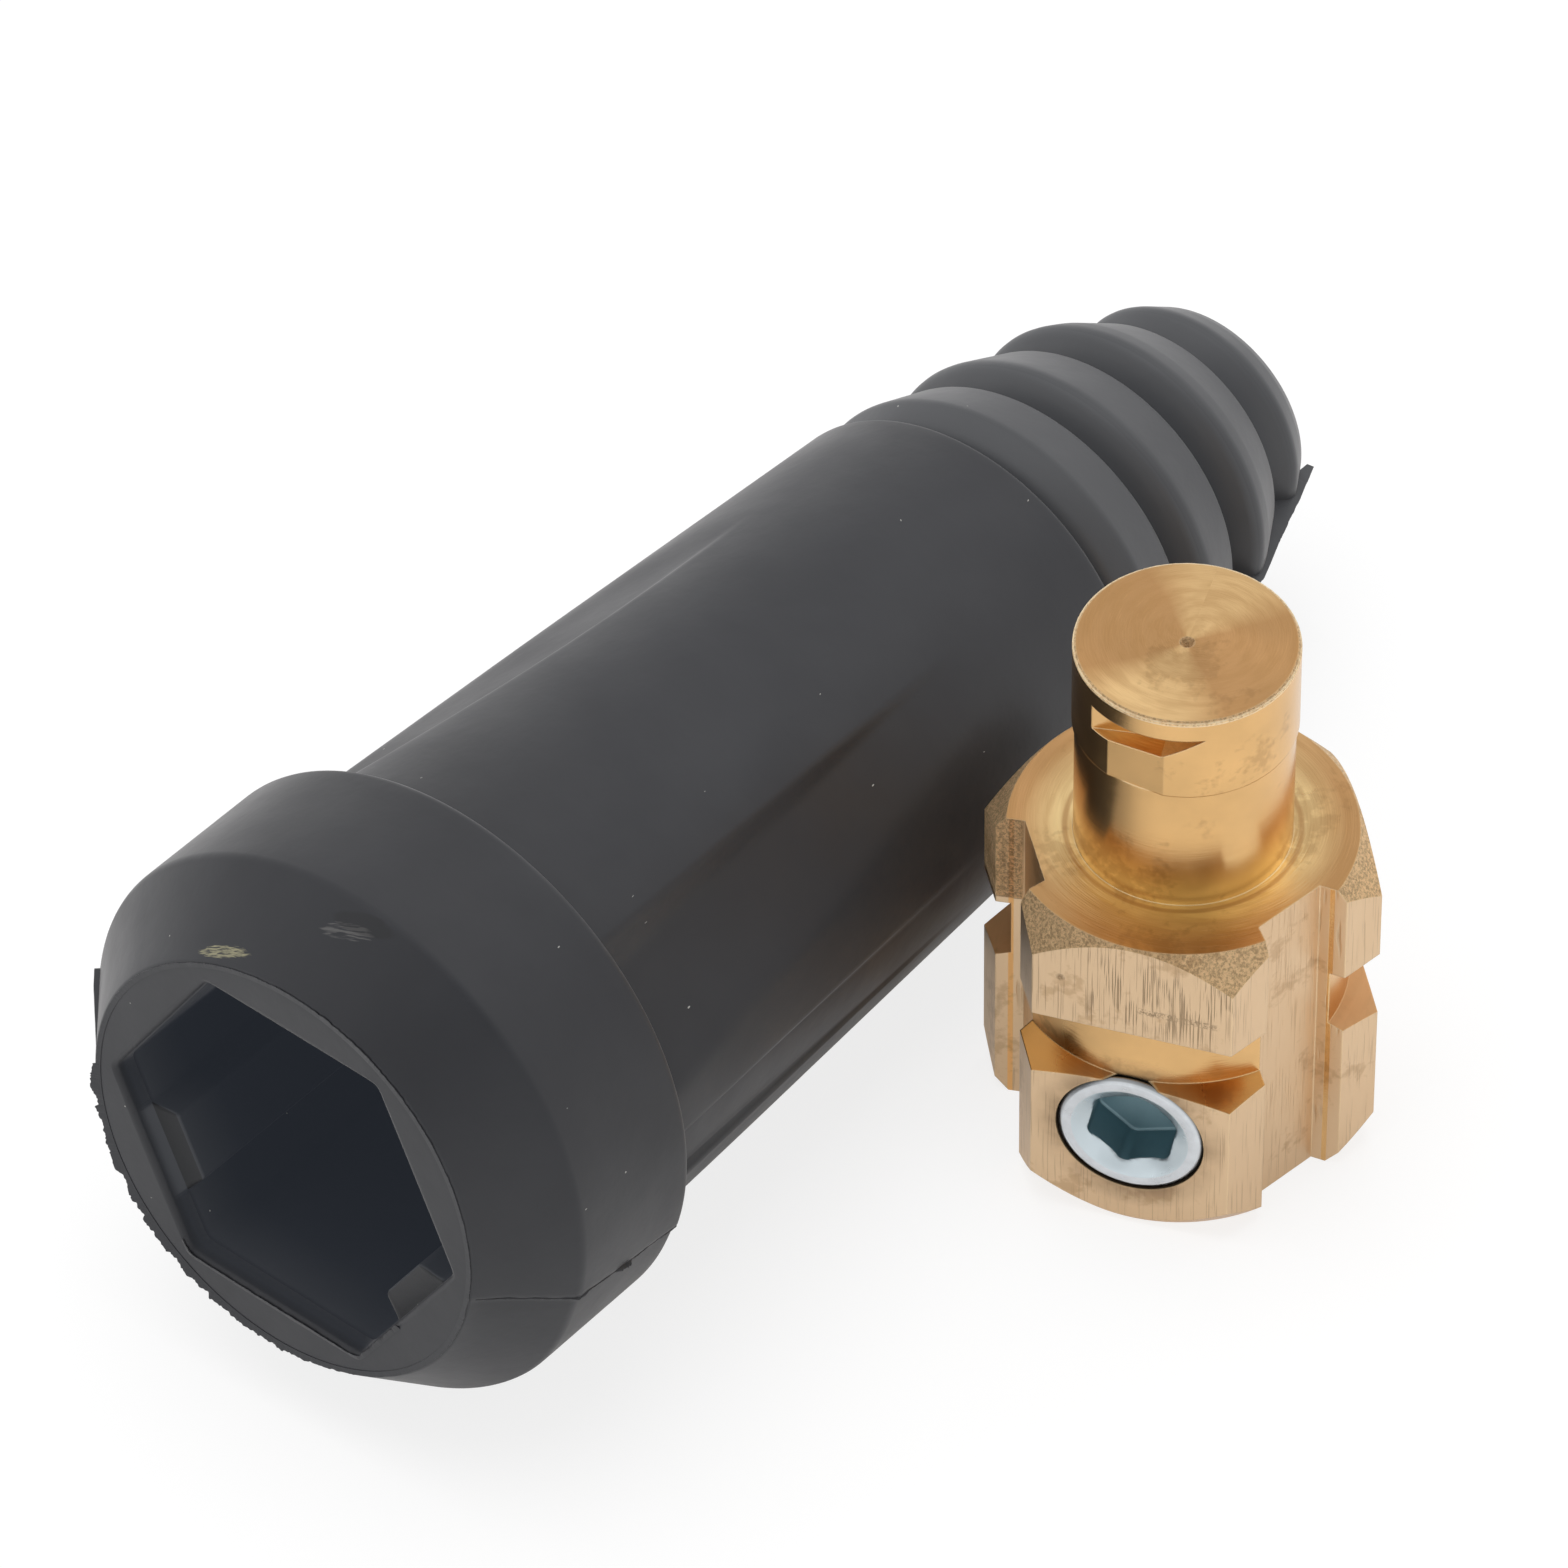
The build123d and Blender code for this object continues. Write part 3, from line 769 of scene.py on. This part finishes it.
smear = mark(on_sleeve(0.6, 14.22, 69.5), surface_frame(69.5, 6.0), (0.0033, 0.00056, 0.0015), 5.5, 0.42, 2.6)
scuff = mark(on_sleeve(3.6, 16.6, 94.5), surface_frame(94.5, 20.0), (0.0030, 0.0008, 0.0015), 2.2, 0.43, 3.5)
# painted shade: the hollow is only a dark patch in the colour, with no dent in the relief
hollow_painted_shade = mark(on_sleeve(4.3, 17.1, 97.0), surface_frame(97.0, 14.0), (0.0026, 0.0007, 0.0015), 0.8, 0.2)

# %% Where the rubber differs
from_mouth, toward_tail = (depth, "X"), facing(along)
off_axis = radius_of((depth, "Y"), (depth, "Z"))
# painted shade and glow: the socket is painted darker and bluish, and a faint glow is painted there
socket_shade_and_glow = times(fall(off_axis, 0.0123, 0.0125), ramp(from_mouth, 0.0001, 0.0009), fall(from_mouth, 0.0600, 0.0615))
lip = fall(from_mouth, 0.0005, 0.0052)
off_end = ramp(toward_tail, -0.9, -0.6)
# painted light: the ringed tail is painted paler, and more on the flanks that face the mouth
flank_painted_light = times(ramp(toward_tail, -0.55, -0.15, 0.08, 0.0), ramp(from_mouth, 0.0632, 0.0636))
tail_painted_light = plus(ramp(from_mouth, 0.0627, 0.0631, 0.0, 0.24), ramp(from_mouth, 0.076, 0.088, 0.0, 0.05), flank_painted_light)

# %% Colour, glow, roughness and relief of the rubber
color = varied(ramp((clouds, "Tone"), 0.3, 0.7, 0.88, 1.14), (0.022, 0.023, 0.0275))
color = layers(color, ((tail_painted_light, 1.0, (0.20, 0.205, 0.215)), (socket_shade_and_glow, 1.0, (0.012, 0.013, 0.016)),
                       (scuff, 0.45, (0.17, 0.165, 0.16)), (hollow_painted_shade, 0.5, (0.012, 0.012, 0.013)),
                       (smear, 0.85, (0.30, 0.28, 0.17))))
wire(color, skin, "Base Color")
# painted glow in the socket, paler close behind the mouth, none on the ends of the keys
socket_painted_glow = mixed(lip, (0.0140, 0.0165, 0.0215), (0.0215, 0.0235, 0.0275))
wire(mixed(times(socket_shade_and_glow, off_end), (0.0, 0.0, 0.0), socket_painted_glow), skin, "Emission Color")
wire(ramp(wander, 0.3, 0.7, 0.40, 0.52), skin, "Roughness")
relief_of(plus(times(grain, 0.06), times(wander, 0.7), times((clouds, "Tone"), 2.5)), 0.5, 0.00012)
sleeve.data.materials.append(rubber)
print("rubber nodes", len(tree.nodes))

# %% [markdown]
# ## Brass
# The insert is cut from drawn hexagonal bar, so its flats keep long scratches from the die.
# Everything round was turned, which leaves fine rings, and its upper chamfers and the sides of
# its upper wings are a rough torn cut. The material sorts these apart by where a point is, in
# the insert's own frame with +X where the screw's flat faces, and by which way the surface
# faces. Limits are in metres.

# %% Where each cut of the brass is
tree, skin, here = open_material(brass, Metallic=1.0)
local = in_frame(insert_foot * mm, (0, 0, insert_turn))
part = split(local)
forward, sideways, level = (part, "X"), (part, "Y"), (part, "Z")
across = radius_of(forward, sideways)
off_centre = radius_of(plus(forward, 0.0007), minus(sideways, 0.0005))
round_arc = times(maths("ARCTAN2", sideways, forward), 0.010)
from_screw = radius_of(sideways, minus(level, screw_height * mm))
slope = (split((add("NewGeometry"), "True Normal")), "Z")
level_face = band(slope, 0.95, 2.0, 0.02)
upright = band(slope, -0.15, 0.15, 0.03)
on_pin = fall(across, 0.0068, 0.0069)
in_groove = band(across, 0.00970, 0.01000, 0.00003)
turned_side = times(upright, maths("ADD", on_pin, in_groove, clamp=True))
drawn_side = times(upright, minus(1.0, turned_side), fall(level, 0.0229, 0.0230))
torn = times(band(slope, 0.35, 0.85, 0.04), ramp(level, 0.0175, 0.0176))
off_front = fall(forward, 0.0055, 0.0065)
# painted reflection: the lower cone is painted a darker, deeper orange
lower_cone_painted_reflection = times(band(slope, 0.85, 0.985, 0.01), band(level, 0.009, 0.0119, 0.0001))
wing = times(upright, fall(sideways, -0.0090, -0.0088), ramp(level, 0.0163, 0.0164))
near_hole = fall(from_screw, 0.00465, 0.0060)
# painted shade: the screw's hole is painted dark; with no limit along X it also darkens a disc on the far side
in_hole_painted_shade = fall(from_screw, 0.00446, 0.00448)
torn_all = maths("ADD", torn, wing, clamp=True)
lower_flats = times(band(slope, 0.2, 0.985, 0.01), fall(level, 0.0172, 0.0174), off_front)
# painted light: the end of the groove is painted a lighter orange where it would show the dark sleeve
groove_end_painted_light = times(upright, in_groove, fall(sideways, -0.0062, -0.0042))
# painted reflection: an orange glow round the pin's foot, for light thrown between pin and collar
pin_foot_painted_glow = times(fall(across, 0.0072, 0.0094), fall(level, 0.0236, 0.0266))
# painted shade in the crease round the pin's foot
foot_crease_painted_shade = times(band(across, 0.00665, 0.00695, 0.00006), level_face)
# painted highlight along the pin's rim, broken by the crumbs noise
pin_rim_painted_highlight = times(ramp(across, 0.00636, 0.00640), ramp(level, 0.0374, 0.0375))
print("brass sorted", len(tree.nodes), "nodes")

# %% [markdown]
# The marks are noises stretched along the way the tool went: rings on turned faces, lines up the
# drawn flats. On the screw's flat the deep scratches gather above the groove, with a row of
# small pits below them and one dent at the upper left.

# %% Marks in the brass
def streaks(a, b, stretch, scale, detail=4.0):
    """Noise drawn out along the second of two surface directions."""
    pair = wire(a, add("CombineXYZ"), "X")
    wire(times(b, stretch), pair, "Y")
    return noise_of(pair, Scale=scale, Detail=detail)

rings_top = streaks(off_centre, round_arc, 0.04, 9000.0)
broad_rings = streaks(off_centre, round_arc, 0.12, 1500.0, 2.0)
rings_side = streaks(level, round_arc, 0.03, 7000.0)
drawn = streaks(round_arc, level, 0.04, 5200.0)
deep_drawn = streaks(round_arc, level, 0.015, 13000.0, 1.5)
clusters = streaks(round_arc, level, 0.3, 900.0, 1.0)
sectors = noise_of((here, "Object"), Scale=170.0, Detail=1.0)
crumbs = noise_of(local, Scale=5200.0, Detail=4.0, Roughness=0.75)
cloud = noise_of(local, Scale=300.0, Detail=4.0)
stains = use(patches, Vector=local, Scale=230.0, Cover=0.32)
soft = use(edges, Radius=0.00013, Gain=5.0)
front_flat = ramp(forward, 0.0100, 0.0102)
scratch = times(ramp(deep_drawn, 0.52, 0.58), ramp(clusters, 0.46, 0.54), drawn_side, front_flat,
                band(level, 0.0166, 0.0214, 0.0009), ramp(sideways, -0.0029, -0.0024))
dots = times(ramp(crumbs, 0.50, 0.56), drawn_side, front_flat, band(sideways, 0.0004, 0.0050, 0.0003),
             fall(maths("ABSOLUTE", minus(level, 0.01795)), 0.00012, 0.00030))
dent = fall(radius_of(plus(sideways, 0.00427), minus(level, 0.01933)), 0.00010, 0.00032)
dent = times(dent, front_flat, ramp(crumbs, 0.4, 0.5))
light_scratch = times(ramp(deep_drawn, 0.60, 0.66), drawn_side, 0.4)
for more in (plus(dots, dent), light_scratch):
    scratch = maths("ADD", scratch, more, clamp=True)
between_grains = minus(1.0, ramp(crumbs, 0.42, 0.56))

# %% [markdown]
# A faced end mirrors light in two opposite sectors, as brushed metal does, most of all on the
# pin's end, and here those sectors are a painted reflection in the colour. The rest of the colour
# is laid on in layers, from the wide ones to the small ones, some of them painted light and shade.

# %% Colour, roughness and relief of the brass
# painted reflection: two bright opposite sectors on the level faces, strongest on the pin's end
twice_round = times(minus(times(round_arc, 100.0), radians(172)), 2.0)
painted_reflection_way = ramp(plus(maths("COSINE", twice_round), times(cloud, 0.6)), 0.3, 1.1)
painted_reflection_way = times(painted_reflection_way, ramp(level, 0.030, 0.031, 0.35, 1.0))
painted_reflection_colour = mixed(painted_reflection_way, (0.63, 0.345, 0.148), (1.0, 0.68, 0.33))
color = varied(ramp(cloud, 0.25, 0.75, 0.90, 1.08), (0.78, 0.48, 0.205))
color = layers(color, (
    (level_face, 0.85, painted_reflection_colour),
    (pin_foot_painted_glow, 0.9, (1.0, 0.74, 0.36)),
    (drawn_side, 1.0, (0.76, 0.55, 0.345)),
    (lower_cone_painted_reflection, 0.9, (0.66, 0.31, 0.08)),
    (lower_flats, 0.8, (0.95, 0.68, 0.40)),
    (groove_end_painted_light, 0.7, (1.0, 0.62, 0.27)),
    (times(level_face, ramp(sectors, 0.42, 0.60)), 0.30, (0.42, 0.24, 0.10)),
    (torn_all, 0.9, (0.86, 0.62, 0.36)),
    (times(torn_all, between_grains), 0.55, (0.27, 0.17, 0.085)),
    (times(level_face, ramp(broad_rings, 0.42, 0.62)), 0.30, (0.50, 0.27, 0.10)),
    (scratch, 0.62, (0.20, 0.13, 0.07)),
    ((stains, "Mask"), 0.34, (0.36, 0.20, 0.08)),
    (times(near_hole, ramp(cloud, 0.35, 0.6)), 0.5, (0.20, 0.13, 0.08)),
    (in_hole_painted_shade, 1.0, (0.11, 0.075, 0.05)),
    (foot_crease_painted_shade, 0.5, (0.42, 0.20, 0.07)),
    # painted highlight along the edges
    ((soft, "Edge"), 0.6, (0.97, 0.76, 0.46)),
    (times(pin_rim_painted_highlight, ramp(crumbs, 0.40, 0.50, 0.5, 1.0)), 1.0, (1.0, 0.86, 0.62))))
wire(color, skin, "Base Color")

rough = ramp(cloud, 0.3, 0.7, 0.19, 0.27)
for mask, more in ((drawn_side, 0.14), (torn_all, 0.35), (level_face, 0.08), (in_hole_painted_shade, 0.4), (near_hole, 0.15),
                   (lower_flats, 0.6), (groove_end_painted_light, 0.4), (pin_rim_painted_highlight, 0.4)):
    rough = plus(rough, times(mask, more))
wire(rough, skin, "Roughness")

# the screw's hole shows its thread as rings one pitch apart
thread_rings = maths("SINE", times(forward, 2 * pi / (screw_pitch * mm)))
height = times(rings_top, level_face, 1.6)
for more in (times(broad_rings, level_face, 1.2), times(rings_side, turned_side, 0.35),
             times(drawn, drawn_side, 0.7), times(crumbs, torn_all, 12.0), times(cloud, 0.9),
             times(scratch, -2.0), times(thread_rings, in_hole_painted_shade, 9.0)):
    height = plus(height, more)
relief_of(height, 0.6, 0.00003, soft)
print("brass nodes", len(tree.nodes))

# %% [markdown]
# ## Zinc-plated steel
# The set screw is plated, which is whiter and bluer than the brass, slightly cloudy, with a
# painted highlight on its edges. Down in its socket it is painted dark and greenish as painted
# shade, on the cone of the socket's mouth it is pale blue, and the thread is painted dark as the
# shade in the hole.

# %% Plated steel
tree, skin, here = open_material(zinc, Metallic=1.0)
part = split(in_frame(insert_foot * mm, (0, 0, insert_turn)))
forward = (part, "X")
from_axis = radius_of((part, "Y"), minus((part, "Z"), screw_height * mm))
on_mouth = times(band(facing(screw_out), 0.25, 0.93, 0.03), fall(from_axis, 0.0036, 0.0037),
                 ramp(forward, 0.0094, 0.0095))
# painted shade down in the socket
socket_painted_shade = times(fall(from_axis, 0.00285, 0.00295), fall(forward, 0.01015, 0.01022), minus(1.0, on_mouth))
# painted shade on the thread, which sits in the hole
thread_painted_shade = ramp(from_axis, 0.0042, 0.00428)
cloud = noise_of((here, "Object"), Scale=1100.0, Detail=4.0)
soft = use(edges, Radius=0.00010, Gain=4.0)
color = varied(ramp(cloud, 0.25, 0.75, 0.86, 1.08), (0.71, 0.74, 0.77))
# painted shade in the socket and on the thread, and a painted highlight on the edges
color = layers(color, ((socket_painted_shade, 1.0, (0.26, 0.385, 0.425)), (on_mouth, 1.0, (0.62, 0.70, 0.74)),
                       (thread_painted_shade, 0.6, (0.16, 0.16, 0.15)), ((soft, "Edge"), 0.5, (0.88, 0.92, 0.95))))
wire(color, skin, "Base Color")
wire(plus(ramp(cloud, 0.3, 0.7, 0.26, 0.38), times(socket_painted_shade, 0.2)), skin, "Roughness")
relief_of(cloud, 0.3, 0.00002, soft)

# %% [markdown]
# ## Dust and where each finish goes
# The dust is pale grey and quite matt. The brass solid keeps its own shape, so it only gets its
# finish. The two solids that are replaced get theirs too.

# %% Pale dust, and the finishes on the solids
tree, skin, here = open_material(dusty, Roughness=0.95)
speckle = noise_of((here, "Object"), Scale=9000.0, Detail=2.0)
wire(mixed(speckle, (0.30, 0.30, 0.28), (0.62, 0.61, 0.58)), skin, "Base Color")
for name, finish in (("rubber_sleeve", rubber), ("contact_insert", brass), ("clamp_screw", zinc)):
    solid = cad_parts[name]
    if not solid.material_slots:
        solid.data.materials.append(finish)
    for slot in solid.material_slots:
        slot.material = finish
    print(name, "has", len(solid.data.polygons), "faces")

# %% [markdown]
# ## Floor and light
# The group stands in a bright tent of light. The sky is pale all round, a little darker
# overhead, darker on the camera's side and somewhat on the right, which keeps the mouth and the
# near sides dark. In reflections it is dimmed less, and it is whiter toward the upper right, so
# the brass has something bright to show. One large soft lamp overhead, which isn't seen in
# reflections, brightens the floor. To the camera the floor is mostly white of its own, with a
# darker paper that still takes the shadow. In reflections it has less of that white, and for
# the light it throws on the object it is plain pale paper.

# %% Floor
floor = new_object("floor", [(-4, -4, 0), (4, -4, 0), (4, 4, 0), (-4, 4, 0)], [(0, 1, 2, 3)])
paper = bpy.data.materials.new("white_paper")
tree, skin, here = open_material(paper, Emission_Strength=0.81, Roughness=1.0, Specular_IOR_Level=0.0)
rays = add("LightPath")
mirrored = maths("ADD", (rays, "Is Glossy Ray"), (rays, "Is Transmission Ray"), clamp=True)
color = mixed(mirrored, (0.74, 0.74, 0.74), (0.64, 0.64, 0.64))
wire(mixed((rays, "Is Camera Ray"), color, (0.22, 0.22, 0.22)), skin, "Base Color")
glow = mixed(mirrored, (0.0, 0.0, 0.0), (0.42, 0.42, 0.42))
wire(mixed((rays, "Is Camera Ray"), glow, (1.0, 1.0, 1.0)), skin, "Emission Color")
floor.data.materials.append(paper)

# %% Lamp and sky
disk = bpy.data.lights.new("overhead", "AREA")
disk.shape, disk.size, disk.energy = "DISK", 1.0, 6.0
overhead = bpy.data.objects.new("overhead", disk)
bpy.context.scene.collection.objects.link(overhead)
overhead.location = (-0.05, 0.15, 1.1)
group_middle = Vector((0, 0, 0.015))
overhead.rotation_euler = (group_middle - overhead.location).to_track_quat("-Z", "Y").to_euler()
overhead.visible_glossy = False

world = bpy.data.worlds.new("world")
bpy.context.scene.world = world
world.use_nodes = True
tree = world.node_tree
sky = tree.nodes["Background"]
way = split((add("TexCoord"), "Generated"))

def toward(x, y, z):
    """How far a direction of the sky lies toward a given one, as the cosine between them."""
    return plus(times((way, "X"), x), times((way, "Y"), y), times((way, "Z"), z))

by_height = plus(ramp((way, "Z"), 0.0, 0.35, 0.30, 0.0), ramp((way, "Z"), 0.3, 1.0, 0.88, 0.70))
camera_side = ramp(toward(-0.54, -0.42, 0.73), 0.83, 0.97, 0.0, 0.57)
right_side = ramp(toward(0.10, -0.98, 0.10), 0.10, 0.90, 0.0, 0.36)
reflected = (add("LightPath"), "Is Glossy Ray")
dimmed = times(plus(camera_side, right_side), minus(1.0, times(reflected, 0.4)))
strength = minus(by_height, dimmed)
shine = times(reflected, ramp(toward(0.64, -0.25, 0.73), 0.86, 0.96, 0.0, 0.40))
wire(plus(strength, shine), sky, "Strength")
sky.inputs["Color"].default_value = (1, 1, 1, 1)
print("sky nodes", len(tree.nodes))
